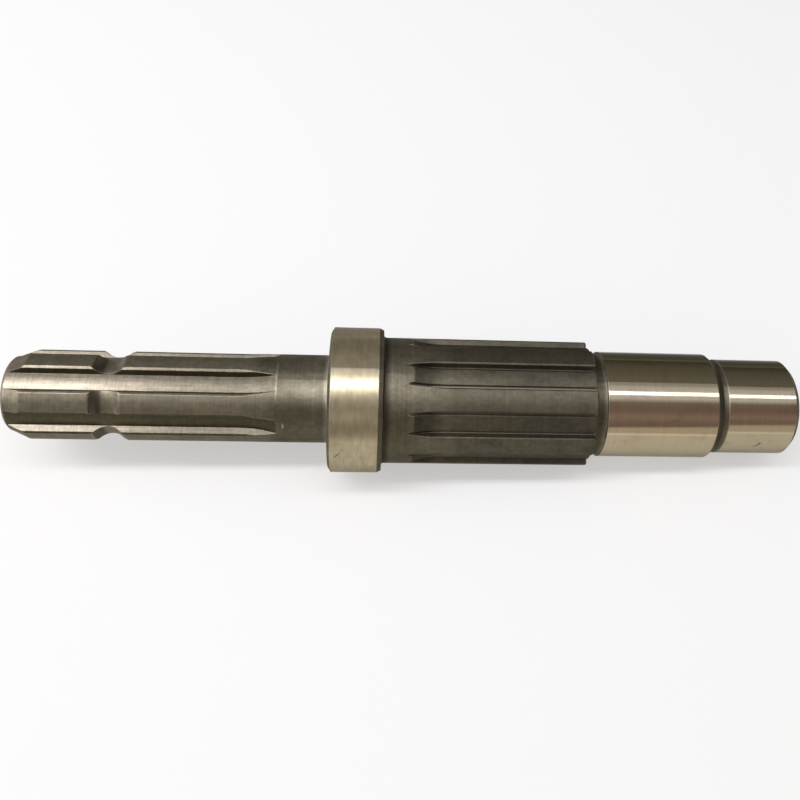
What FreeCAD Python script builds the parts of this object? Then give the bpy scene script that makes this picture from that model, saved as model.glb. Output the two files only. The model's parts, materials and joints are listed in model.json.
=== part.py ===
import FreeCAD, Part
import math
import os
import Sketcher

# A one-piece power take-off shaft end in steel, in millimetres.
# It is turned along its own X axis: the drive spline's end face at x = 0, then the neck, the collar,
# the hub spline, the large journal and the small journal. The finished shaft then lies as it comes
# to rest on a level surface at z = 0: on the rear rim of its collar and on two tooth corners at the
# end of its hub spline, which tips the journals down by about 3 degrees.

NODE = "pto_shaft"

# Driving sizes: lengths in mm, angles in degrees. The drive turn is how far the drive spline is
# turned from the hub spline, which has one of its spaces straight up.
SIZES = {
    "drive_major_diameter": 34.8,
    "drive_tooth_height": 2.95,
    "drive_tooth_count": 6,
    "drive_tooth_width": 8.6,
    "drive_edge_chamfer": 0.7,
    "drive_full_depth_length": 87.3,
    "drive_turn": 4.5,
    "drive_end_chamfer_length": 8.0,
    "drive_end_chamfer_depth": 3.1,
    "drive_end_break": 0.8,
    "lock_groove_position": 38.1,
    "lock_groove_depth": 2.7,
    "lock_groove_arc_radius": 6.8,
    "lock_groove_chamfer": 0.7,
    "cutter_radius": 35.0,
    "cutter_clearance": 1.0,
    "collar_position": 121.1,
    "collar_width": 20.7,
    "collar_diameter": 57.5,
    "collar_front_chamfer_length": 1.1,
    "collar_front_chamfer_depth": 1.8,
    "collar_rear_chamfer_length": 1.7,
    "collar_rear_chamfer_depth": 0.8,
    "neck_fillet_radius": 1.2,
    "shoulder_fillet_radius": 1.0,
    "hub_major_diameter": 50.0,
    "hub_tooth_height": 2.0,
    "hub_relief_depth": 0.7,
    "hub_relief_width": 1.3,
    "hub_tooth_count": 8,
    "hub_tooth_width": 9.0,
    "hub_edge_chamfer": 0.4,
    "hub_length": 82.6,
    "hub_full_depth_length": 59.6,
    "hub_end_chamfer": 0.5,
    "hub_tooth_end_chamfer": 0.7,
    "undercut_width": 4.2,
    "undercut_depth": 0.7,
    "undercut_lead_length": 0.7,
    "large_journal_diameter": 42.6,
    "large_journal_length": 44.1,
    "large_journal_chamfer_length": 3.0,
    "relief_width": 2.0,
    "relief_depth": 0.2,
    "relief_lead_length": 0.2,
    "small_journal_diameter": 38.5,
    "small_journal_length": 27.4,
    "small_journal_chamfer": 2.0,
    "centre_hole_pilot_diameter": 4.0,
    "centre_hole_mouth_diameter": 8.5,
    "centre_hole_pilot_depth": 9.0,
    "centre_hole_cone_angle": 60.0,
}

# Stations along the shaft, each built on the one before it
COLLAR_FRONT = "dims.collar_position"
COLLAR_REAR = COLLAR_FRONT + " + dims.collar_width"
HUB_END = COLLAR_REAR + " + dims.hub_length"
UNDERCUT_END = HUB_END + " + dims.undercut_width"
LARGE_START = UNDERCUT_END + " + dims.undercut_lead_length"
LARGE_END = LARGE_START + " + dims.large_journal_length"
RELIEF_START = LARGE_END + " + dims.large_journal_chamfer_length"
RELIEF_END = RELIEF_START + " + dims.relief_width"
SMALL_START = RELIEF_END + " + dims.relief_lead_length"
SMALL_END = SMALL_START + " + dims.small_journal_length"
SHAFT_END = SMALL_END + " + dims.small_journal_chamfer"


def half(alias):
    return "dims." + alias + " / 2"


def make_sheet(doc):
    sheet = doc.addObject("Spreadsheet::Sheet", "dims")
    for row, (alias, value) in enumerate(SIZES.items(), start=1):
        sheet.set("A%d" % row, alias.replace("_", " "))
        sheet.set("B%d" % row, str(value))
        sheet.setAlias("B%d" % row, alias)
    doc.recompute()
    return sheet


def origin_feature(body, role):
    for feature in body.Origin.OriginFeatures:
        if feature.Role == role:
            return feature
    raise ValueError("the body has no " + role)


def add_sketch(body, name, plane_role):
    sketch = body.newObject("Sketcher::SketchObject", name)
    sketch.AttachmentSupport = [(origin_feature(body, plane_role), "")]
    sketch.MapMode = "FlatFace"
    return sketch


def bind(sketch, constraint, name, expression):
    """Adds a constraint with a name and ties its value to the sheet."""
    index = sketch.addConstraint(constraint)
    sketch.renameConstraint(index, name)
    sketch.setExpression("Constraints." + name, expression)


def draw_outline(sketch, corners, floor=None):
    """Draws a closed outline through corners, which are pairs of expressions.

    floor is (first corner, radius expression): from that corner to the next one the outline
    follows an arc about the shaft's axis, and the arc sets how high its two ends are.
    """
    points = []
    for across, up in corners:
        points.append(FreeCAD.Vector(sketch.evalExpression(across), sketch.evalExpression(up), 0))
    count = len(points)
    arc_index = floor[0] if floor else None
    for index in range(count):
        start = points[index]
        end = points[(index + 1) % count]
        if index == arc_index:
            circle = Part.Circle(FreeCAD.Vector(0, 0, 0), FreeCAD.Vector(0, 0, 1), start.Length)
            first = math.atan2(start.y, start.x)
            last = math.atan2(end.y, end.x)
            sketch.addGeometry(Part.ArcOfCircle(circle, first, last))
        else:
            sketch.addGeometry(Part.LineSegment(start, end))
    for index in range(count):
        following = (index + 1) % count
        sketch.addConstraint(Sketcher.Constraint("Coincident", index, 2, following, 1))
    on_arc = []
    if floor:
        on_arc = [arc_index, (arc_index + 1) % count]
        sketch.addConstraint(Sketcher.Constraint("Coincident", arc_index, 3, -1, 1))
        radius = Sketcher.Constraint("Radius", arc_index, points[arc_index].Length)
        bind(sketch, radius, "floor_radius", floor[1])
    for index, (across, up) in enumerate(corners):
        sideways = Sketcher.Constraint("DistanceX", -1, 1, index, 1, points[index].x)
        bind(sketch, sideways, "across_%d" % index, across)
        if index not in on_arc:
            upward = Sketcher.Constraint("DistanceY", -1, 1, index, 1, points[index].y)
            bind(sketch, upward, "up_%d" % index, up)


def turn_blank(body):
    """The turned outline, from one end face to the other, spun about the shaft's axis."""
    corners = [
        ("0", "0"),
        ("0", half("drive_major_diameter") + " - dims.drive_end_chamfer_depth - dims.drive_end_break"),
        ("dims.drive_end_break", half("drive_major_diameter") + " - dims.drive_end_chamfer_depth"),
        ("dims.drive_end_chamfer_length", half("drive_major_diameter")),
        (COLLAR_FRONT, half("drive_major_diameter")),
        (COLLAR_FRONT, half("collar_diameter") + " - dims.collar_front_chamfer_depth"),
        (COLLAR_FRONT + " + dims.collar_front_chamfer_length", half("collar_diameter")),
        (COLLAR_REAR + " - dims.collar_rear_chamfer_length", half("collar_diameter")),
        (COLLAR_REAR, half("collar_diameter") + " - dims.collar_rear_chamfer_depth"),
        (COLLAR_REAR, half("hub_major_diameter")),
        (HUB_END + " - dims.hub_end_chamfer", half("hub_major_diameter")),
        (HUB_END, half("hub_major_diameter") + " - dims.hub_end_chamfer"),
        (HUB_END, half("large_journal_diameter") + " - dims.undercut_depth"),
        (UNDERCUT_END, half("large_journal_diameter") + " - dims.undercut_depth"),
        (LARGE_START, half("large_journal_diameter")),
        (LARGE_END, half("large_journal_diameter")),
        (RELIEF_START, half("small_journal_diameter") + " - dims.relief_depth"),
        (RELIEF_END, half("small_journal_diameter") + " - dims.relief_depth"),
        (SMALL_START, half("small_journal_diameter")),
        (SMALL_END, half("small_journal_diameter")),
        (SHAFT_END, half("small_journal_diameter") + " - dims.small_journal_chamfer"),
        (SHAFT_END, "0"),
    ]
    sketch = add_sketch(body, "TurnedOutline", "XZ_Plane")
    draw_outline(sketch, corners)
    blank = body.newObject("PartDesign::Revolution", "Blank")
    blank.Profile = (sketch, [""])
    blank.ReferenceAxis = (origin_feature(body, "X_Axis"), [""])
    blank.Angle = 360
    return blank


def ring_edges(shape, station, radius):
    """Names of the edges that run round the shaft at a station with a radius."""
    names = []
    for index, edge in enumerate(shape.Edges, start=1):
        if not isinstance(edge.Curve, Part.Circle):
            continue
        centre = edge.Curve.Center
        if abs(centre.x - station) < 0.01 and abs(edge.Curve.Radius - radius) < 0.01:
            names.append("Edge%d" % index)
    if not names:
        raise ValueError("no ring edge at x = %.2f" % station)
    return names


def dress_ring(body, kind, name, size_name, size_expression, rings):
    """A fillet or chamfer on rings of the last feature, given as (station, radius) expressions."""
    base = body.Tip
    names = []
    for station, radius in rings:
        names += ring_edges(base.Shape, base.evalExpression(station), base.evalExpression(radius))
    feature = body.newObject("PartDesign::" + kind, name)
    feature.Base = (base, names)
    feature.setExpression(size_name, size_expression)
    return feature


def cut_lock_groove(body):
    """The round annular groove in which a driven yoke's locking pin seats."""
    sketch = add_sketch(body, "LockGrooveCircle", "XZ_Plane")
    groove_floor = half("drive_major_diameter") + " - dims.lock_groove_depth"
    centre_height = groove_floor + " + dims.lock_groove_arc_radius"
    centre = FreeCAD.Vector(
        sketch.evalExpression("dims.lock_groove_position"), sketch.evalExpression(centre_height), 0
    )
    radius = sketch.evalExpression("dims.lock_groove_arc_radius")
    sketch.addGeometry(Part.Circle(centre, FreeCAD.Vector(0, 0, 1), radius))
    place = Sketcher.Constraint("DistanceX", -1, 1, 0, 3, centre.x)
    bind(sketch, place, "position", "dims.lock_groove_position")
    height = Sketcher.Constraint("DistanceY", -1, 1, 0, 3, centre.y)
    bind(sketch, height, "centre_height", centre_height)
    bind(sketch, Sketcher.Constraint("Radius", 0, radius), "arc", "dims.lock_groove_arc_radius")
    groove = body.newObject("PartDesign::Groove", "LockGroove")
    groove.Profile = (sketch, [""])
    groove.ReferenceAxis = (origin_feature(body, "X_Axis"), [""])
    groove.Angle = 360
    return groove


def lock_groove_rings():
    """The two edges of the lock groove on the drive spline's outer cylinder."""
    rise = "(dims.lock_groove_arc_radius - dims.lock_groove_depth)"
    reach = "sqrt(dims.lock_groove_arc_radius ^ 2 - %s ^ 2)" % rise
    outer = half("drive_major_diameter")
    return [
        ("dims.lock_groove_position - " + reach, outer),
        ("dims.lock_groove_position + " + reach, outer),
    ]


def floor_radius(spline):
    """Radius of the floor between two teeth."""
    return "(%s - dims.%s_tooth_height)" % (half(spline + "_major_diameter"), spline)


def relief_radius(spline):
    """Radius of the narrow relief that runs beside each flank, a little below the floor."""
    return "(%s - dims.%s_relief_depth)" % (floor_radius(spline), spline)


def spline_point(spline, radial, across):
    """A point beside a tooth, in the axes of the groove next to it.

    radial is measured along the tooth's centre line and across from it towards the groove.
    """
    turn = "180 deg / dims.%s_tooth_count" % spline
    sideways = "(%s) * sin(%s) - (%s) * cos(%s)" % (radial, turn, across, turn)
    upward = "(%s) * cos(%s) + (%s) * sin(%s)" % (radial, turn, across, turn)
    return sideways, upward


def groove_side(spline, relief):
    """One side of the space between two teeth, from its floor to clear of the outer cylinder."""
    flank = half(spline + "_tooth_width")
    land = "(%s - dims.%s_edge_chamfer)" % (flank, spline)
    tip = "sqrt((%s) ^ 2 - %s ^ 2)" % (half(spline + "_major_diameter"), land)
    clearance = "dims.cutter_clearance"
    side = []
    if relief:
        depth = "sqrt(%s ^ 2 - (%s) ^ 2)" % (relief_radius(spline), flank)
        width = "dims.%s_relief_width" % spline
        shore = "(%s + %s)" % (flank, width)
        floor_end = "sqrt(%s ^ 2 - %s ^ 2)" % (floor_radius(spline), shore)
        side.append(spline_point(spline, floor_end, shore))
        side.append(spline_point(spline, depth, "%s + %s / 2" % (flank, width)))
        side.append(spline_point(spline, depth, flank))
    else:
        floor_end = "sqrt(%s ^ 2 - (%s) ^ 2)" % (floor_radius(spline), flank)
        side.append(spline_point(spline, floor_end, flank))
    side.append(spline_point(spline, "%s - dims.%s_edge_chamfer" % (tip, spline), flank))
    side.append(spline_point(spline, tip + " + " + clearance, "%s - %s" % (land, clearance)))
    return side


def mill_spline(body, spline, turn, start, length, toward_end_face, relief):
    """Mills one space with a disc cutter and repeats it round the shaft.

    The straight cut runs from the start to the open end of the spline. At the start the same
    outline swings up about the cutter's own axis, which leaves the curved run-out.
    """
    name = spline.capitalize()
    sketch = add_sketch(body, name + "SpaceOutline", "YZ_Plane")
    sketch.AttachmentOffset = FreeCAD.Placement(
        FreeCAD.Vector(0, 0, 0), FreeCAD.Rotation(FreeCAD.Vector(0, 0, 1), 0)
    )
    sketch.setExpression("AttachmentOffset.Base.z", start)
    sketch.setExpression("AttachmentOffset.Rotation.Angle", turn + " * 1 deg")
    right = groove_side(spline, relief)
    left = [("-(%s)" % across, up) for across, up in right]
    crown = ("0", half(spline + "_major_diameter") + " + 3 * dims.cutter_clearance")
    corners = left + [crown] + right[::-1]
    draw_outline(sketch, corners, (len(corners) - 1, floor_radius(spline)))

    axis_height = floor_radius(spline) + " + dims.cutter_radius"
    height = sketch.evalExpression(axis_height)
    reach = sketch.evalExpression("dims.cutter_radius")
    axis = sketch.addGeometry(
        Part.LineSegment(FreeCAD.Vector(-reach, height, 0), FreeCAD.Vector(reach, height, 0)), True
    )
    sketch.addConstraint(Sketcher.Constraint("Symmetric", axis, 1, axis, 2, -2))
    bind(sketch, Sketcher.Constraint("DistanceX", -1, 1, axis, 2, reach), "reach", "dims.cutter_radius")
    bind(sketch, Sketcher.Constraint("DistanceY", -1, 1, axis, 2, height), "axis_height", axis_height)

    straight = body.newObject("PartDesign::Pocket", name + "StraightCut")
    straight.Profile = (sketch, [""])
    straight.Type = "Length"
    straight.setExpression("Length", length + " + dims.cutter_clearance")
    straight.Reversed = not toward_end_face

    runout = body.newObject("PartDesign::Groove", name + "RunOut")
    runout.Profile = (sketch, [""])
    runout.ReferenceAxis = (sketch, ["Axis0"])
    deepest = relief_radius(spline) if relief else floor_radius(spline)
    rise = "(%s - %s + dims.cutter_clearance)" % (half(spline + "_major_diameter"), deepest)
    runout.setExpression("Angle", "acos(1 - %s / dims.cutter_radius)" % rise)
    runout.Reversed = toward_end_face

    pattern = body.newObject("PartDesign::PolarPattern", name + "Spline")
    pattern.Originals = [straight, runout]
    pattern.Axis = (origin_feature(body, "X_Axis"), [""])
    pattern.Angle = 360
    pattern.setExpression("Occurrences", "dims.%s_tooth_count" % spline)
    body.Tip = pattern
    return [straight, runout, pattern]


def tooth_end_edges(shape, station, floor):
    """Names of the straight edges between the flanks and an end face of a spline."""
    names = []
    for index, edge in enumerate(shape.Edges, start=1):
        if not isinstance(edge.Curve, Part.Line):
            continue
        ends = [vertex.Point for vertex in edge.Vertexes]
        in_end_face = all(abs(end.x - station) < 0.01 for end in ends)
        outermost = max(math.hypot(end.y, end.z) for end in ends)
        if in_end_face and outermost > floor + 0.5:
            names.append("Edge%d" % index)
    if not names:
        raise ValueError("no tooth ends at x = %.2f" % station)
    return names


def break_hub_tooth_ends(body):
    """A chamfer on the corners of the hub spline's teeth, which leads them into a mating hub.

    It needs a free end face: where a thick journal covers the reliefs, the corners stay sharp.
    """
    base = body.Tip
    covered = base.evalExpression(half("large_journal_diameter") + " - dims.undercut_depth")
    if covered > base.evalExpression(relief_radius("hub")) - 0.1:
        return
    floor = base.evalExpression(floor_radius("hub"))
    edges = tooth_end_edges(base.Shape, base.evalExpression(HUB_END), floor)
    feature = body.newObject("PartDesign::Chamfer", "HubToothEnds")
    feature.Base = (base, edges)
    feature.setExpression("Size", "dims.hub_tooth_end_chamfer")


def drill_centre_hole(body, name, face, inward):
    """A centre hole in an end face: a cone for the lathe centre with a pilot at its bottom.

    inward is 1 where the shaft lies towards +X from the face, and -1 where it lies the other way.
    """
    pilot = half("centre_hole_pilot_diameter")
    mouth = half("centre_hole_mouth_diameter")
    cone = "(%s - %s) / tan(dims.centre_hole_cone_angle * 1 deg / 2)" % (mouth, pilot)
    sign = " + " if inward > 0 else " - "
    corners = [
        (face, "0"),
        (face, mouth),
        ("%s%s%s" % (face, sign, cone), pilot),
        ("%s%sdims.centre_hole_pilot_depth" % (face, sign), pilot),
        ("%s%s(dims.centre_hole_pilot_depth + %s / 2)" % (face, sign, pilot), "0"),
    ]
    sketch = add_sketch(body, name + "Outline", "XZ_Plane")
    draw_outline(sketch, corners)
    hole = body.newObject("PartDesign::Groove", name)
    hole.Profile = (sketch, [""])
    hole.ReferenceAxis = (origin_feature(body, "X_Axis"), [""])
    hole.Angle = 360
    return hole


def expect_cut(feature):
    """A cut that points away from the shaft takes nothing off and reports nothing, so compare."""
    if feature.Shape.Volume >= feature.BaseFeature.Shape.Volume - 1.0:
        raise ValueError(feature.Name + " removes no material")


def resting_placement(sheet):
    """The shaft as it lies still: collar rim and two hub tooth corners on the plane z = 0."""
    collar_radius = sheet.evalExpression(half("collar_diameter"))
    collar_rim = sheet.evalExpression(COLLAR_REAR + " - dims.collar_rear_chamfer_length")
    tooth_end = sheet.evalExpression(HUB_END + " - dims.hub_end_chamfer")
    tip_radius = sheet.evalExpression(half("hub_major_diameter"))
    land_half = sheet.evalExpression(half("hub_tooth_width") + " - dims.hub_edge_chamfer")
    pitch = 360.0 / sheet.get("hub_tooth_count")

    # The space at the top faces straight up, so this is how far the nearest tooth is off the bottom
    off_bottom = (180.0 - pitch / 2) % pitch
    off_bottom = min(off_bottom, pitch - off_bottom)
    corner_angle = max(0.0, math.radians(off_bottom) - math.asin(land_half / tip_radius))
    tooth_drop = tip_radius * math.cos(corner_angle)

    tilt = math.atan((collar_radius - tooth_drop) / (tooth_end - collar_rim))
    length = sheet.evalExpression(SHAFT_END)
    front_radius = sheet.evalExpression(
        half("drive_major_diameter") + " - dims.drive_end_chamfer_depth - dims.drive_end_break"
    )
    rear_radius = sheet.evalExpression(
        half("small_journal_diameter") + " - dims.small_journal_chamfer"
    )
    lowest = -front_radius * math.sin(tilt)
    highest = length * math.cos(tilt) + rear_radius * math.sin(tilt)
    place = FreeCAD.Vector(
        -(lowest + highest) / 2,
        0,
        collar_rim * math.sin(tilt) + collar_radius * math.cos(tilt),
    )
    return FreeCAD.Placement(
        place, FreeCAD.Rotation(FreeCAD.Vector(0, 1, 0), math.degrees(tilt))
    )


def build_shaft(doc):
    body = doc.addObject("PartDesign::Body", "Shaft")
    body.Label = NODE
    turn_blank(body)
    doc.recompute()

    neck_corner = [(COLLAR_FRONT, half("drive_major_diameter"))]
    dress_ring(body, "Fillet", "NeckFillet", "Radius", "dims.neck_fillet_radius", neck_corner)
    doc.recompute()
    shoulder = [(COLLAR_REAR, half("hub_major_diameter"))]
    dress_ring(body, "Fillet", "ShoulderFillet", "Radius", "dims.shoulder_fillet_radius", shoulder)
    doc.recompute()

    cuts = [cut_lock_groove(body)]
    doc.recompute()
    dress_ring(body, "Chamfer", "LockGrooveEdges", "Size", "dims.lock_groove_chamfer", lock_groove_rings())
    doc.recompute()

    drive_start = "dims.drive_full_depth_length"
    cuts += mill_spline(body, "drive", "dims.drive_turn", drive_start, drive_start, True, False)
    doc.recompute()
    hub_start = HUB_END + " - dims.hub_full_depth_length"
    cuts += mill_spline(body, "hub", "0", hub_start, "dims.hub_full_depth_length", False, True)
    doc.recompute()
    break_hub_tooth_ends(body)
    doc.recompute()

    cuts.append(drill_centre_hole(body, "DriveCentreHole", "0", 1))
    cuts.append(drill_centre_hole(body, "JournalCentreHole", SHAFT_END, -1))
    doc.recompute()
    for feature in cuts:
        expect_cut(feature)
    return body


def check_document(doc, parts):
    for item in doc.Objects:
        if "Invalid" in item.State or "Error" in item.State:
            raise ValueError(item.Name + " failed: " + ", ".join(item.State))
    for part in parts:
        if part.Shape.isNull() or not part.Shape.isValid():
            raise ValueError(part.Label + " has no valid shape")


def main():
    doc = FreeCAD.newDocument("pto_shaft_end")
    sheet = make_sheet(doc)
    shaft = build_shaft(doc)
    shaft.Placement = resting_placement(sheet)
    doc.recompute()
    check_document(doc, [shaft])
    os.makedirs("parts", exist_ok=True)
    shaft.Shape.exportStep("parts/%s.step" % shaft.Label)
    box = shaft.Shape.optimalBoundingBox(False)
    print("solids", len(shaft.Shape.Solids), "volume cm3 %.1f" % (shaft.Shape.Volume / 1000))
    print("box mm %.2f x %.2f x %.2f" % (box.XLength, box.YLength, box.ZLength))
    print("lowest z %.3f" % box.ZMin)
    print("tilt degrees %.3f" % math.degrees(shaft.Placement.Rotation.Angle))


main()
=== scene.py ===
import json
import math

import bpy
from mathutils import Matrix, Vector

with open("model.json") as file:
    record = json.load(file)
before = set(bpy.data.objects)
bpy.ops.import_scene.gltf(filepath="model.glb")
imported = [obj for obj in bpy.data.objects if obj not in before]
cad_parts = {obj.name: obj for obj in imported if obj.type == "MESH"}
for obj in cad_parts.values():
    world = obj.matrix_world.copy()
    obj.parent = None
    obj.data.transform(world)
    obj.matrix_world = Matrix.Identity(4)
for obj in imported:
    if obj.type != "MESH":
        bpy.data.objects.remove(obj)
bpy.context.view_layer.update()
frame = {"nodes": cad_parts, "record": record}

# A one-piece splined shaft in steel lies on a pale floor. Sizes are in millimetres along and across
# the shaft, and in metres where an object or a lamp is placed. A station is a distance along the
# shaft from its drive end.
SHAFT = frame["nodes"]["pto_shaft"]
MOUNTS = {mount["name"]: mount for mount in frame["record"]["mounts"]}
AXIS = Vector(MOUNTS["hub_spline"]["axis"])
DRIVE_END = Vector(MOUNTS["drive_spline"]["pos_m"])
TILT = math.asin(-AXIS.z)
MILLIMETRES = 1000.0

# Sizes of the shaft that no mount states
DRIVE_TOOTH_HEIGHT = 2.95
DRIVE_RUN_OUT = 101.5
CUTTER_RADIUS = 35.0
HUB_TOOTH_COUNT = 8
COLLAR_FRONT_CHAMFER = 1.1
# From the large journal's ground face to the step down to the small one
JOURNAL_STEP = 4.0
# Nearer to the drive end than this, the shaft is turned and not milled
TURNED_END = 1.15


def radius_of(name):
    return MOUNTS[name]["dims"]["r_mm"]


def station_of(name):
    return (Vector(MOUNTS[name]["pos_m"]) - DRIVE_END).dot(AXIS) * MILLIMETRES


def span_of(name):
    """Both ends of the cylinder that a mount measures, as stations."""
    middle = station_of(name)
    reach = MOUNTS[name]["dims"]["length_mm"] / 2
    return middle - reach, middle + reach


COLLAR = span_of("collar_rim")
LARGE_JOURNAL = span_of("large_journal")
SMALL_JOURNAL = span_of("small_journal")
GROUND_SPANS = [COLLAR, LARGE_JOURNAL, SMALL_JOURNAL]
COLLAR_FRONT = COLLAR[0] - COLLAR_FRONT_CHAMFER
COLLAR_REAR = station_of("collar_shoulder")
HUB_END = station_of("hub_spline")
LOCK_GROOVE = station_of("lock_groove")
DRIVE_FULL_DEPTH = MOUNTS["drive_spline"]["dims"]["length_mm"]
HUB_FULL_DEPTH = HUB_END - MOUNTS["hub_spline"]["dims"]["length_mm"]
# The reliefs beside the journals, which are darker
DARK_RELIEFS = [(HUB_END, LARGE_JOURNAL[0]), (LARGE_JOURNAL[1], SMALL_JOURNAL[0])]

# Stretches of the shaft with a finish, painted light or painted shade of their own
# Painted light: the neck is paler just in front of the collar
LIT_NECK = (COLLAR_FRONT - 8.0, COLLAR_FRONT)
# Painted highlight: a bright ring just in front of the collar
NECK_HIGHLIGHT_RING = (COLLAR_FRONT - 2.0, COLLAR_FRONT - 0.4)
# Painted shade on one wall of the locking groove
SHADED_GROOVE_WALL = (LOCK_GROOVE - 6.2, LOCK_GROOVE - 1.5)
BESIDE_COLLAR = (COLLAR_REAR, COLLAR_REAR + 16.0)
# Painted highlight on the tips where the drive's spaces run out
RUN_OUT_TIPS = (DRIVE_RUN_OUT - 0.5, DRIVE_RUN_OUT + 0.1)
# Where painted light or shade sets in along the shaft, and where it is complete
# Painted light: the drive end is paler
LIT_DRIVE_END = (90.0, 35.0)
HUB_RUN_OUT = (HUB_FULL_DEPTH + 1.0, HUB_FULL_DEPTH - 7.0)
HUB_FLOORS_DARKEN = (COLLAR_REAR + 12.0, HUB_END - 30.0)
HUB_LANDS_DARKEN = (COLLAR_REAR + 12.0, COLLAR_REAR + 32.0)
CHAMFER_SHADE = (COLLAR_REAR - 1.9, COLLAR_REAR - 1.5)
SHOULDER = (COLLAR_REAR - 0.2, COLLAR_REAR + 0.1)
SHOULDER_SHADE = (COLLAR_REAR + 3.6, COLLAR_REAR + 0.6)
# Depths below the outermost surface
GROOVE_WALL_DEPTHS = (0.3, 2.7)
HUB_FLOOR_DEPTHS = (0.1, 0.3)
OUTER_EDGE_DEPTHS = (1.4, 0.9)
ROOT_CORNER_DEPTHS = (2.4, 2.8)
ROOT_RELIEF_DEPTHS = (2.15, 2.45)
# Heights above the floors of the drive's spaces
DRIVE_FLOOR_HEIGHTS = (0.24, 0.12)
# The round that finds the edges, and how deep the tools' fine lines are
EDGE_ROUND = 0.4
LINE_DEPTH = 0.03

# Small marks: middle and half size in the shaft's millimetres, and how far they lean along it
DARK_MARKS = [
    ((124.9, -27.2, 9.4), (0.5, 4.0, 1.8), 0.7),
    ((292.6, -18.7, 4.2), (0.7, 4.0, 2.0), 0.8),
    ((293.4, -18.5, 5.4), (1.1, 4.0, 0.5), 0.0),
    ((18.0, -15.9, 4.4), (0.7, 2.0, 0.6), 0.5),
    ((15.0, -15.9, 4.7), (0.4, 2.0, 0.4), 0.0),
]
BRIGHT_NICK = ((104.0, -15.3, 8.3), (0.4, 2.0, 1.6), 0.0)
# Faces that look this way, to the front and 26 degrees up, get painted shade
SHADED_SIDE = (0, -math.cos(math.radians(26)), math.sin(math.radians(26)))

# Linear colours of the steel's finishes, and of painted light and shade
GROUND_STEEL = (0.40, 0.34, 0.225, 1)
GROUND_STAIN = (0.33, 0.27, 0.165, 1)
TURNED_STEEL = (0.165, 0.147, 0.104, 1)
TURNED_STAIN = (0.115, 0.103, 0.07, 1)
NECK_STEEL = (0.19, 0.17, 0.122, 1)
LAND_STEEL = (0.24, 0.213, 0.153, 1)
MILLED_STEEL = (0.195, 0.17, 0.125, 1)
# Painted light: the paler steel towards the drive end
PAINTED_LIGHT_STEEL = (0.31, 0.268, 0.202, 1)
# Painted light in the hub's reliefs
RELIEF_PAINTED_LIGHT = (0.30, 0.27, 0.20, 1)
# Bright wear on edges and nicks, and painted highlights on a ring and the run-out tips
WEAR_AND_HIGHLIGHT = (0.55, 0.5, 0.4, 1)
# Painted shade on faces that look to the front, and on the journals' faces that look up and back
PAINTED_SHADE = (0.075, 0.067, 0.038, 1)
# Dark brown of handling marks and of the darker reliefs beside the journals
DARK_BROWN = (0.035, 0.027, 0.017, 1)
# Deep painted shade in corners and on a wall of the locking groove
DARKEST_SHADE = (0.022, 0.018, 0.011, 1)

# Noise patterns: grains to the millimetre along, sideways and upwards, then detail and roughness
TURNING_RINGS = ((2.2, 0.02, 0.02), 5.0, 0.65)
STAINS = ((0.11, 0.16, 0.16), 4.0, 0.6)
GRAIN = ((2.5, 2.5, 2.5), 2.0, 0.55)
CUTTER_LINES = ((1.6, 0.25, 0.25), 3.0, 0.55)
LONG_LINES = ((0.06, 1.8, 1.8), 3.0, 0.55)
BLOTCHES = ((0.4, 0.55, 0.55), 5.0, 0.72)
HANDLING = ((0.7, 0.2, 0.2), 5.0, 0.65)

# How strongly painted shade darkens each kind of rough face that looks to the front
FRONT_SHADE = {"milled": 0.95, "neck": 0.7, "beside_collar": 0.6, "hub": 0.16, "turned": 0.38}

# Roughness from the smoothest to the roughest spot of each finish
JOURNAL_ROUGHNESS = (0.1, 0.16)
COLLAR_ROUGHNESS = (0.31, 0.41)
TURNED_ROUGHNESS = (0.46, 0.58)
HUB_ROUGHNESS = (0.5, 0.6)
MILLED_ROUGHNESS = (0.48, 0.62)
DRIVE_END_ROUGHNESS = (0.38, 0.5)
DRIVE_END_LAND_ROUGHNESS = 0.42


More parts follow.
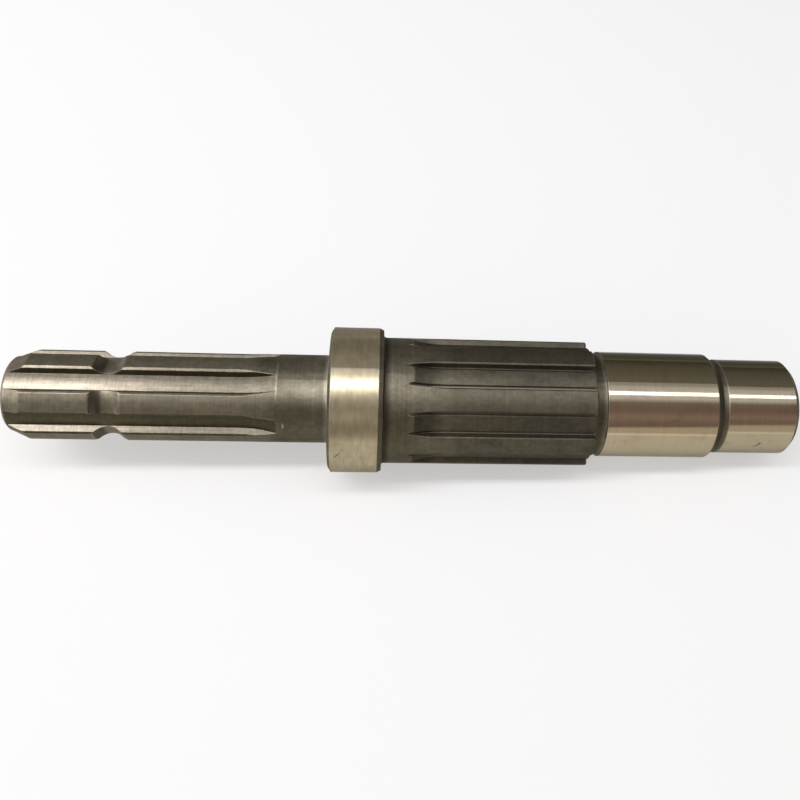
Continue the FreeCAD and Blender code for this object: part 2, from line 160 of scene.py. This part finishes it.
class Wiring:
    """Adds nodes to one node tree. A value is a plain number or colour, or another node's output."""

    def __init__(self, tree):
        self.tree = tree
        tree.nodes.clear()

    def add(self, kind, inputs=None, **settings):
        node = self.tree.nodes.new("ShaderNode" + kind)
        for name, value in settings.items():
            setattr(node, name, value)
        for name, value in (inputs or {}).items():
            if isinstance(value, bpy.types.NodeSocket):
                self.tree.links.new(value, node.inputs[name])
            else:
                node.inputs[name].default_value = value
        return node

    def maths(self, operation, *values):
        return self.add("Math", dict(enumerate(values)), operation=operation).outputs[0]

    def vector(self, operation, *values):
        return self.add("VectorMath", dict(enumerate(values)), operation=operation).outputs[0]

    def measure(self, operation, *values):
        """A number worked out from vectors: a length or a dot product."""
        return self.add("VectorMath", dict(enumerate(values)), operation=operation).outputs["Value"]

    def product(self, first, *others):
        for other in others:
            first = self.maths("MULTIPLY", first, other)
        return first

    def line(self, value, slope, start):
        """Start at 0, and slope more for each unit of value."""
        return self.maths("MULTIPLY_ADD", value, slope, start)

    def rise(self, value, low, high):
        """0 below low and 1 above high, with a smooth step between. Low may be the larger one."""
        inputs = {"Value": value, "From Min": low, "From Max": high}
        return self.add("MapRange", inputs, interpolation_type="SMOOTHSTEP").outputs[0]

    def within(self, value, low, high, soft):
        """1 between low and high, and 0 outside them."""
        up = self.rise(value, low - soft, low + soft)
        down = self.rise(value, high + soft, high - soft)
        return self.product(up, down)

    def blend(self, share, first, second):
        inputs = {"Factor": share, 2: first, 3: second}
        return self.add("Mix", inputs, data_type="FLOAT").outputs[0]

    def tint(self, share, first, second, mode="MIX"):
        inputs = {"Factor": share, 6: first, 7: second}
        return self.add("Mix", inputs, data_type="RGBA", blend_type=mode).outputs[2]

    def times(self, colour, factor):
        return self.tint(1.0, colour, factor, "MULTIPLY")

    def turn(self, vector, angle):
        """The vector turned about the world's Y axis."""
        inputs = {"Vector": vector, "Angle": angle}
        return self.add("VectorRotate", inputs, rotation_type="Y_AXIS").outputs[0]

    def mark(self, place, middle, size, lean):
        """1 in the middle of a small ellipsoid that leans along the shaft, and 0 outside it."""
        offset = self.vector("SUBTRACT", place, middle)
        height = self.add("SeparateXYZ", {0: offset}).outputs[2]
        shift = self.add("CombineXYZ", {0: self.maths("MULTIPLY", height, -lean)}).outputs[0]
        scaled = self.vector("DIVIDE", self.vector("ADD", offset, shift), size)
        return self.rise(self.measure("LENGTH", scaled), 1.0, 0.4)

    def noise(self, place, stretch, detail, roughness):
        """Noise. Its stretch gives its grains to the millimetre along the shaft, sideways and upwards."""
        scaled = self.vector("MULTIPLY", place, stretch)
        inputs = {"Vector": scaled, "Scale": 1.0, "Detail": detail, "Roughness": roughness}
        return self.add("TexNoise", inputs).outputs[0]

    def finish(self, kind, shader):
        """Ends the tree in an output node of a kind, which shows the shader."""
        output = self.add(kind)
        self.tree.links.new(shader.outputs[0], output.inputs["Surface"])


class Surface:
    """What the finish of a point on the shaft depends on: shares from 0 to 1, millimetres and vectors."""

    def __init__(self, wires):
        self.wires = wires
        self.measure_place()
        self.measure_facing()
        self.find_parts()
        self.find_milled_faces()
        self.make_patterns()

    def measure_place(self):
        """The place in the shaft's own axes, its station and radius, and its depth below the outside."""
        wires = self.wires
        offset = wires.vector("SUBTRACT", wires.add("TexCoord").outputs["Object"], DRIVE_END)
        scale = {0: wires.turn(offset, -TILT), "Scale": MILLIMETRES}
        self.place = wires.add("VectorMath", scale, operation="SCALE").outputs[0]
        self.station, self.sideward, self.height = wires.add("SeparateXYZ", {0: self.place}).outputs
        self.outward = wires.vector("MULTIPLY", self.place, (0, 1, 1))
        self.radius = wires.measure("LENGTH", self.outward)
        self.depth = wires.maths("SUBTRACT", self.outer_radius(), self.radius)

    def outer_radius(self):
        """The radius of the part of the shaft that the point is on, before anything is cut into it."""
        steps = [
            (COLLAR_FRONT, "drive_spline", "collar_rim"),
            (COLLAR_REAR, "collar_rim", "hub_spline"),
            (HUB_END, "hub_spline", "large_journal"),
            (LARGE_JOURNAL[1] + JOURNAL_STEP, "large_journal", "small_journal"),
        ]
        radius = radius_of("drive_spline")
        for station, before, after in steps:
            past = self.wires.maths("GREATER_THAN", self.station, station)
            radius = self.wires.line(past, radius_of(after) - radius_of(before), radius)
        return radius

    def measure_facing(self):
        """Which way the face looks, and whether the point is on an edge, where a small round turns it."""
        wires = self.wires
        normal = wires.add("NewGeometry").outputs["Normal"]
        self.rounded = wires.add("Bevel", {"Radius": EDGE_ROUND / MILLIMETRES}, samples=6).outputs[0]
        self.edge = wires.rise(wires.measure("DOT_PRODUCT", normal, self.rounded), 0.995, 0.9)
        around = wires.vector("NORMALIZE", wires.vector("CROSS_PRODUCT", (1, 0, 0), self.outward))
        around = wires.turn(around, TILT)
        self.sideways = wires.maths("ABSOLUTE", wires.measure("DOT_PRODUCT", normal, around))
        self.lengthways = wires.vector("CROSS_PRODUCT", around, normal)
        self.backward, self.upward = wires.add("SeparateXYZ", {0: normal}).outputs[1:]
        self.behind = wires.rise(self.backward, 0.35, 0.6)
        self.on_shaded_side = wires.rise(wires.measure("DOT_PRODUCT", normal, SHADED_SIDE), 0.72, 0.92)

    def find_parts(self):
        """Which part of the shaft the point is on. The collar's value is read on ground faces alone."""
        wires = self.wires
        self.on_drive = wires.maths("LESS_THAN", self.station, DRIVE_RUN_OUT)
        self.on_neck = wires.within(self.station, DRIVE_RUN_OUT, COLLAR_FRONT, 4.0)
        self.on_collar = wires.maths("LESS_THAN", self.station, COLLAR_REAR)
        self.beside_collar = wires.within(self.station, *BESIDE_COLLAR, 4.0)
        self.on_hub = wires.within(self.station, COLLAR_REAR, HUB_END, 0.2)
        self.ground = 0.0
        for span in GROUND_SPANS:
            self.ground = wires.maths("MAXIMUM", self.ground, wires.within(self.station, *span, 0.15))

    def find_milled_faces(self):
        """The drive's floors follow the cutter's arc out of the steel, and its flanks look sideways."""
        wires = self.wires
        height = wires.maths("SUBTRACT", self.radius, radius_of("drive_spline") - DRIVE_TOOTH_HEIGHT)
        run = wires.maths("MAXIMUM", wires.maths("SUBTRACT", self.station, DRIVE_FULL_DEPTH), 0.0)
        cutter_rise = wires.product(wires.maths("POWER", run, 2.0), 0.5 / CUTTER_RADIUS)
        above_floor = wires.maths("SUBTRACT", height, cutter_rise)
        self.drive_floor = wires.rise(above_floor, *DRIVE_FLOOR_HEIGHTS)
        cut = wires.maths("MAXIMUM", self.drive_floor, wires.rise(self.sideways, 0.12, 0.25))
        past_end = wires.maths("GREATER_THAN", self.station, TURNED_END)
        self.milled = wires.product(cut, self.on_drive, past_end)
        self.hub_floor = wires.product(wires.rise(self.depth, *HUB_FLOOR_DEPTHS), self.on_hub)

    def make_patterns(self):
        """Marks that turning and milling leave, stains, and a share that grows towards the drive's end,
        which gets painted light and less roughness.
        """
        wires = self.wires
        self.rings = wires.noise(self.place, *TURNING_RINGS)
        self.stains = wires.noise(self.place, *STAINS)
        self.grain = wires.noise(self.place, *GRAIN)
        self.cutter_lines = wires.noise(self.place, *CUTTER_LINES)
        self.long_lines = wires.noise(self.place, *LONG_LINES)
        self.blotches = wires.rise(wires.noise(self.place, *BLOTCHES), 0.36, 0.64)
        self.lit_drive_end = wires.rise(wires.line(self.stains, 30.0, self.station), *LIT_DRIVE_END)


def turned_colour(wires, at):
    """Dull turned steel: paler on the drive's teeth and the neck, with painted light on the neck near the
    collar, a painted highlight ring in front of the collar, and painted light towards the drive end.
    """
    on_teeth = wires.rise(at.station, DRIVE_RUN_OUT, DRIVE_FULL_DEPTH)
    before_collar = wires.maths("LESS_THAN", at.station, COLLAR_FRONT)
    colour = wires.tint(before_collar, TURNED_STEEL, NECK_STEEL)
    colour = wires.tint(on_teeth, colour, LAND_STEEL)
    stained = wires.product(wires.rise(at.stains, 0.42, 0.68), wires.blend(on_teeth, 0.7, 0.35))
    colour = wires.tint(stained, colour, TURNED_STAIN)
    # Painted light: paler neck just in front of the collar
    colour = wires.times(colour, wires.line(wires.within(at.station, *LIT_NECK, 5.0), 0.3, 1.0))
    # Painted highlight: a bright ring in front of the collar
    ring_highlight = wires.product(wires.within(at.station, *NECK_HIGHLIGHT_RING, 0.5), 0.4)
    colour = wires.tint(ring_highlight, colour, WEAR_AND_HIGHLIGHT)
    # Painted light: the drive end is paler
    return wires.tint(wires.product(at.lit_drive_end, at.on_drive, 0.55), colour, PAINTED_LIGHT_STEEL)


def milled_colour(wires, at):
    """Milled steel with fine scratches along and across, with painted light towards the drive end."""
    painted_light_share = wires.product(at.lit_drive_end, wires.blend(at.drive_floor, 0.8, 1.0))
    colour = wires.tint(painted_light_share, MILLED_STEEL, PAINTED_LIGHT_STEEL)
    along = wires.line(at.long_lines, 0.8, 0.6)
    across = wires.line(at.cutter_lines, 0.6, 0.7)
    return wires.times(colour, wires.product(along, across, wires.line(at.grain, 0.7, 0.65)))


def ground_colour(wires, at):
    """Bright ground steel: the collar is marked by handling. Painted shade darkens the journals' faces
    that look up and back, and the far side; painted light brightens a band on the collar.
    """
    colour = wires.tint(wires.rise(at.stains, 0.5, 0.8), GROUND_STEEL, GROUND_STAIN)
    handled = wires.line(wires.noise(at.place, *HANDLING), 0.8, 0.6)
    colour = wires.tint(wires.blend(at.on_collar, 0.15, 1.0), colour, handled, "MULTIPLY")
    # Painted shade on the journals' faces that look up and back
    upper = wires.rise(at.upward, 0.0, 0.3)
    painted_shade_top = wires.product(at.behind, upper, wires.blend(at.on_collar, 1.0, 0.05))
    colour = wires.tint(painted_shade_top, colour, PAINTED_SHADE)
    # Painted light: a brighter band on the collar's faces that look a little back
    painted_lit_part = wires.product(at.on_collar, wires.within(at.backward, 0.12, 0.46, 0.08))
    colour = wires.times(colour, wires.blend(painted_lit_part, 1.0, 1.4))
    # Painted shade on the far side, stronger on the collar
    far_side = wires.rise(at.backward, 0.5, 0.62)
    far_shade = wires.blend(at.on_collar, 0.84, 0.64)
    return wires.times(colour, wires.blend(far_side, 1.0, far_shade))


def front_shade_share(wires, at):
    """Painted shade: how much the rough faces that look to the front are darkened."""
    on_hub = wires.blend(at.beside_collar, FRONT_SHADE["hub"], FRONT_SHADE["beside_collar"])
    on_turned = wires.blend(at.on_hub, FRONT_SHADE["turned"], on_hub)
    on_turned = wires.blend(at.on_neck, on_turned, FRONT_SHADE["neck"])
    return wires.product(at.on_shaded_side, wires.blend(at.milled, on_turned, FRONT_SHADE["milled"]))


def base_colour(wires, at):
    """The steel's finishes, with painted shade on rough faces that look to the front and on faces that
    look back, and darker reliefs beside the journals.
    """
    colour = wires.tint(at.milled, turned_colour(wires, at), milled_colour(wires, at))
    # Painted shade on the rough faces that look to the front
    colour = wires.tint(front_shade_share(wires, at), colour, PAINTED_SHADE)
    # Painted shade on faces that look back
    colour = wires.times(colour, wires.blend(at.behind, 1.0, 0.64))
    colour = wires.tint(at.ground, colour, ground_colour(wires, at))
    # The reliefs beside the journals are darker
    for low, high in DARK_RELIEFS:
        relief = wires.within(at.station, low + 0.3, high - 1.6, 0.9)
        colour = wires.tint(wires.product(relief, 0.6), colour, DARK_BROWN)
    return colour


def add_patterns(wires, at, colour):
    """Turning rings everywhere, and blotches on the rough faces."""
    contrast = wires.blend(at.ground, 0.7, 0.25)
    streaks = wires.line(at.rings, contrast, wires.blend(at.ground, 0.65, 0.88))
    colour = wires.times(colour, streaks)
    return wires.times(colour, wires.blend(at.ground, wires.line(at.blotches, 0.22, 0.89), 1.0))


def add_painted_shade(wires, at, colour):
    """Painted shade in the corner behind the collar, and on one wall of the locking groove."""
    # Painted shade in the corner behind the collar
    past_rim = wires.rise(at.station, *CHAMFER_SHADE)
    near_shoulder = wires.product(past_rim, wires.rise(at.station, *SHOULDER_SHADE))
    shaded_corner = wires.product(near_shoulder, wires.blend(wires.rise(at.station, *SHOULDER), 0.25, 0.75))
    colour = wires.tint(shaded_corner, colour, DARKEST_SHADE)
    # Painted shade on one wall of the locking groove
    wall = wires.within(at.station, *SHADED_GROOVE_WALL, 1.0)
    below_rim = wires.within(at.depth, *GROOVE_WALL_DEPTHS, 0.15)
    shaded_wall = wires.product(wall, below_rim, wires.maths("SUBTRACT", 1.0, at.milled), 0.7)
    return wires.tint(shaded_wall, colour, DARKEST_SHADE)


def add_marks(wires, at, colour):
    """Marks of handling, and a painted highlight on the tips where the drive's spaces run out."""
    for middle, size, lean in DARK_MARKS:
        dark = wires.product(wires.mark(at.place, middle, size, lean), 0.7)
        colour = wires.tint(dark, colour, DARK_BROWN)
    # Painted highlight: the tips are bright only on faces that look neither to the front nor back
    lit_side = wires.rise(wires.maths("ADD", at.on_shaded_side, at.behind), 0.5, 0.0)
    tip_highlight = wires.product(wires.within(at.station, *RUN_OUT_TIPS, 0.2), lit_side)
    tip_highlight = wires.product(tip_highlight, wires.rise(at.grain, 0.35, 0.6))
    bright = wires.maths("MAXIMUM", wires.mark(at.place, *BRIGHT_NICK), tip_highlight)
    return wires.tint(wires.product(bright, 0.5), colour, WEAR_AND_HIGHLIGHT)


def add_wear_and_corner_shade(wires, at, colour):
    """Outer edges worn bright here and there, and painted shade in the corners at the teeth's roots."""
    outermost = wires.rise(at.depth, *OUTER_EDGE_DEPTHS)
    worn = wires.product(at.edge, outermost, wires.rise(at.grain, 0.3, 0.6))
    colour = wires.tint(wires.product(worn, wires.blend(at.on_hub, 0.7, 0.22)), colour, WEAR_AND_HIGHLIGHT)
    # Painted shade in the corners at the teeth's roots
    corner = wires.product(at.edge, wires.rise(at.depth, *ROOT_CORNER_DEPTHS))
    return wires.tint(wires.product(corner, wires.blend(at.on_hub, 0.6, 0.15)), colour, DARKEST_SHADE)


def shade_hub(wires, at, colour):
    """Painted shade makes the hub's floors darker, most in their run-outs, and floors and lands darker
    towards its end; painted light makes the reliefs beside its teeth paler.
    """
    run_out_shade = wires.blend(wires.rise(at.station, *HUB_RUN_OUT), 0.8, 0.5)
    shade = wires.blend(at.hub_floor, 1.0, run_out_shade)
    floors_end = wires.product(wires.rise(at.station, *HUB_FLOORS_DARKEN), at.on_hub)
    lands_end = wires.product(wires.rise(at.station, *HUB_LANDS_DARKEN), at.on_hub)
    land_shade = wires.blend(lands_end, 1.0, 0.66)
    floor_shade = wires.blend(floors_end, 1.0, 0.75)
    shade = wires.product(shade, wires.blend(at.hub_floor, land_shade, floor_shade))
    colour = wires.times(colour, shade)
    # Painted light in the reliefs, stronger on one side of each tooth
    pitches = wires.product(wires.maths("ARCTAN2", at.sideward, at.height), HUB_TOOTH_COUNT / math.tau)
    off_centre = wires.maths("SUBTRACT", pitches, wires.maths("ROUND", pitches))
    paler_side = wires.rise(off_centre, 0.05, -0.05)
    relief = wires.product(wires.rise(at.depth, *ROOT_RELIEF_DEPTHS), at.on_hub)
    paler = wires.product(relief, wires.blend(paler_side, 0.28, 0.5))
    return wires.tint(paler, colour, RELIEF_PAINTED_LIGHT)


def roughness_of(wires, at):
    journals = wires.blend(at.rings, *JOURNAL_ROUGHNESS)
    ground = wires.blend(at.on_collar, journals, wires.blend(at.rings, *COLLAR_ROUGHNESS))
    hub = wires.blend(at.stains, *HUB_ROUGHNESS)
    turned = wires.blend(at.on_hub, wires.blend(at.stains, *TURNED_ROUGHNESS), hub)
    turned = wires.blend(wires.product(at.lit_drive_end, at.on_drive), turned, DRIVE_END_LAND_ROUGHNESS)
    painted_lit_part = wires.blend(at.cutter_lines, *DRIVE_END_ROUGHNESS)
    milled = wires.blend(at.lit_drive_end, wires.blend(at.cutter_lines, *MILLED_ROUGHNESS), painted_lit_part)
    return wires.blend(at.ground, wires.blend(at.milled, turned, milled), ground)


def bumped_normal(wires, at):
    """Fine lines from the tools, and a grain on the faces that weren't ground."""
    lines = wires.blend(at.milled, at.rings, at.cutter_lines)
    grain = wires.product(wires.maths("SUBTRACT", 1.0, at.ground), at.grain)
    height = wires.line(grain, 1.5, lines)
    inputs = {"Strength": 0.5, "Distance": LINE_DEPTH / MILLIMETRES, "Height": height}
    return wires.add("Bump", {**inputs, "Normal": at.rounded}).outputs[0]


def steel_material():
    material = bpy.data.materials.new("machined_steel")
    material.use_nodes = True
    wires = Wiring(material.node_tree)
    at = Surface(wires)
    colour = base_colour(wires, at)
    for add_layer in (add_patterns, add_painted_shade, add_marks, add_wear_and_corner_shade, shade_hub):
        colour = add_layer(wires, at, colour)
    ground_stretch = wires.blend(at.on_collar, 0.8, 0.4)
    shader = wires.add("BsdfPrincipled", {
        "Base Color": colour,
        "Metallic": 1.0,
        "Roughness": roughness_of(wires, at),
        "Normal": bumped_normal(wires, at),
        "Tangent": at.lengthways,
        "Anisotropic": wires.blend(at.ground, 0.2, ground_stretch),
        "Specular Tint": (0.5, 0.5, 0.5, 1),
    })
    wires.finish("OutputMaterial", shader)
    return material


FLOOR_COLOUR = (0.72, 0.71, 0.675, 1)
# How much of the floor's look is plain white where the camera, a reflection or a clear body shows it
FLOOR_WHITE = 0.45
FLOOR_REACH = 4.0


def floor_material():
    material = bpy.data.materials.new("pale_floor")
    material.use_nodes = True
    wires = Wiring(material.node_tree)
    ray = wires.add("LightPath").outputs
    reflected = wires.maths("MAXIMUM", ray["Is Glossy Ray"], ray["Is Transmission Ray"])
    seen = wires.maths("MAXIMUM", ray["Is Camera Ray"], reflected)
    matt = wires.add("BsdfDiffuse", {"Color": FLOOR_COLOUR})
    white = wires.add("Emission", {"Color": (1, 1, 1, 1), "Strength": 1.0})
    shares = {0: wires.product(seen, FLOOR_WHITE), 1: matt.outputs[0], 2: white.outputs[0]}
    wires.finish("OutputMaterial", wires.add("MixShader", shares))
    return material


def add_floor():
    mesh = bpy.data.meshes.new("floor")
    corners = [(-1, -1), (1, -1), (1, 1), (-1, 1)]
    mesh.from_pydata([(x * FLOOR_REACH, y * FLOOR_REACH, 0) for x, y in corners], [], [(0, 1, 2, 3)])
    mesh.materials.append(floor_material())
    floor = bpy.data.objects.new("floor", mesh)
    bpy.context.scene.collection.objects.link(floor)


def add_panel(name, place, target, width, height, radiance, colour=(1, 1, 1), roll=0.0):
    """A flat lamp whose face shows the given radiance, aimed from place at target."""
    lamp = bpy.data.lights.new(name, "AREA")
    lamp.shape = "RECTANGLE"
    lamp.size = width
    lamp.size_y = height
    lamp.energy = radiance * math.pi * width * height
    lamp.color = colour
    panel = bpy.data.objects.new(name, lamp)
    panel.location = place
    panel.rotation_euler = (Vector(target) - Vector(place)).to_track_quat("-Z", "Y").to_euler()
    panel.rotation_euler.rotate_axis("Z", math.radians(roll))
    panel.visible_camera = False
    bpy.context.scene.collection.objects.link(panel)


# The strip of light above the shaft is brightest at the drive end: name, middle, length and radiance
STRIPS = [
    ("strip_left", -0.8, 0.8, 30.0),
    ("strip_middle", -0.05, 0.7, 18.0),
    ("strip_right", 0.75, 0.9, 7.0),
]
STRIP_LIGHT = (0.98, 0.985, 1.04)
COOL_LIGHT = (0.85, 0.9, 1.1)
WARM_LIGHT = (1, 0.97, 0.9)


def add_lamps():
    for name, middle, length, radiance in STRIPS:
        add_panel(name, (middle, 0.0, 1.2), (middle, 0.0, 0), length, 0.12, radiance, STRIP_LIGHT)
    add_panel("glow", (0, 0.01, 1.22), (0, 0.01, 0), 2.4, 0.6, radiance=0.4, colour=COOL_LIGHT)
    add_panel("overhead", (0, 0.1, 1.25), (0, 0.1, 0), 2.4, 1.0, radiance=0.3, colour=COOL_LIGHT)
    add_panel("left_panel", (-1.3, 0.1, 0.6), (0, 0, 0.04), 1.0, 0.8, radiance=2.0)
    add_panel("front_light", (-0.2, -0.92, 0.8), (0, 0, 0.03), 0.5, 0.12, radiance=1.0)
    add_panel("front_card", (0.2, -0.42, 0), (0.2, 0, 0), 1.6, 0.26, 0.5, WARM_LIGHT, roll=14)


# The surroundings from the front horizon, at 0, over the top, at 0.5, to the back horizon, at 1
SURROUNDINGS = [
    (0.0, (0.34, 0.33, 0.31)),
    (0.10, (0.32, 0.31, 0.29)),
    (0.21, (0.52, 0.50, 0.48)),
    (0.30, (0.36, 0.35, 0.33)),
    (0.42, (0.42, 0.41, 0.40)),
    (0.60, (0.345, 0.34, 0.34)),
    (0.75, (0.24, 0.235, 0.22)),
    (0.92, (0.165, 0.16, 0.145)),
    (1.0, (0.205, 0.2, 0.18)),
]
FRONT_RIGHT_TINT = (1.02, 0.785, 0.805, 1)


def set_world():
    """Soft surroundings: lighter on the left, and a little redder to the front and right."""
    world = bpy.data.worlds.new("studio")
    bpy.context.scene.world = world
    world.use_nodes = True
    wires = Wiring(world.node_tree)
    direction = wires.add("TexCoord").outputs["Generated"]
    rightward, backward, upward = wires.add("SeparateXYZ", {0: direction}).outputs
    turn = wires.maths("ARCTAN2", upward, wires.product(backward, -1.0))
    share = wires.maths("DIVIDE", turn, math.pi)
    ramp = wires.add("ValToRGB", {"Fac": share})
    elements = ramp.color_ramp.elements
    while len(elements) < len(SURROUNDINGS):
        elements.new(0.5)
    for element, (position, colour) in zip(elements, SURROUNDINGS):
        element.position = position
        element.color = (*colour, 1)
    front_right = wires.product(wires.rise(rightward, 0.08, 0.2), wires.rise(share, 0.42, 0.34))
    colour = wires.tint(front_right, ramp.outputs[0], FRONT_RIGHT_TINT, "MULTIPLY")
    strength = wires.line(rightward, -0.4, 1.0)
    wires.finish("OutputWorld", wires.add("Background", {"Color": colour, "Strength": strength}))


def add_camera():
    """The photograph's view, from the front and high above, with the lens's centre off the frame's."""
    lens = bpy.data.cameras.new("camera")
    lens.sensor_width = 36.0
    lens.lens = 38.22
    lens.shift_x = -0.06625
    lens.shift_y = -0.11775
    camera = bpy.data.objects.new("camera", lens)
    camera.location = (0.00078, -0.13763, 0.34491)
    camera.rotation_euler = [math.radians(turn) for turn in (29.8383, -2.2774, -1.1819)]
    bpy.context.scene.collection.objects.link(camera)
    bpy.context.scene.camera = camera


material = steel_material()
for slot in SHAFT.material_slots:
    slot.material = material
add_floor()
add_lamps()
set_world()
add_camera()
bpy.context.scene.view_settings.view_transform = "Standard"
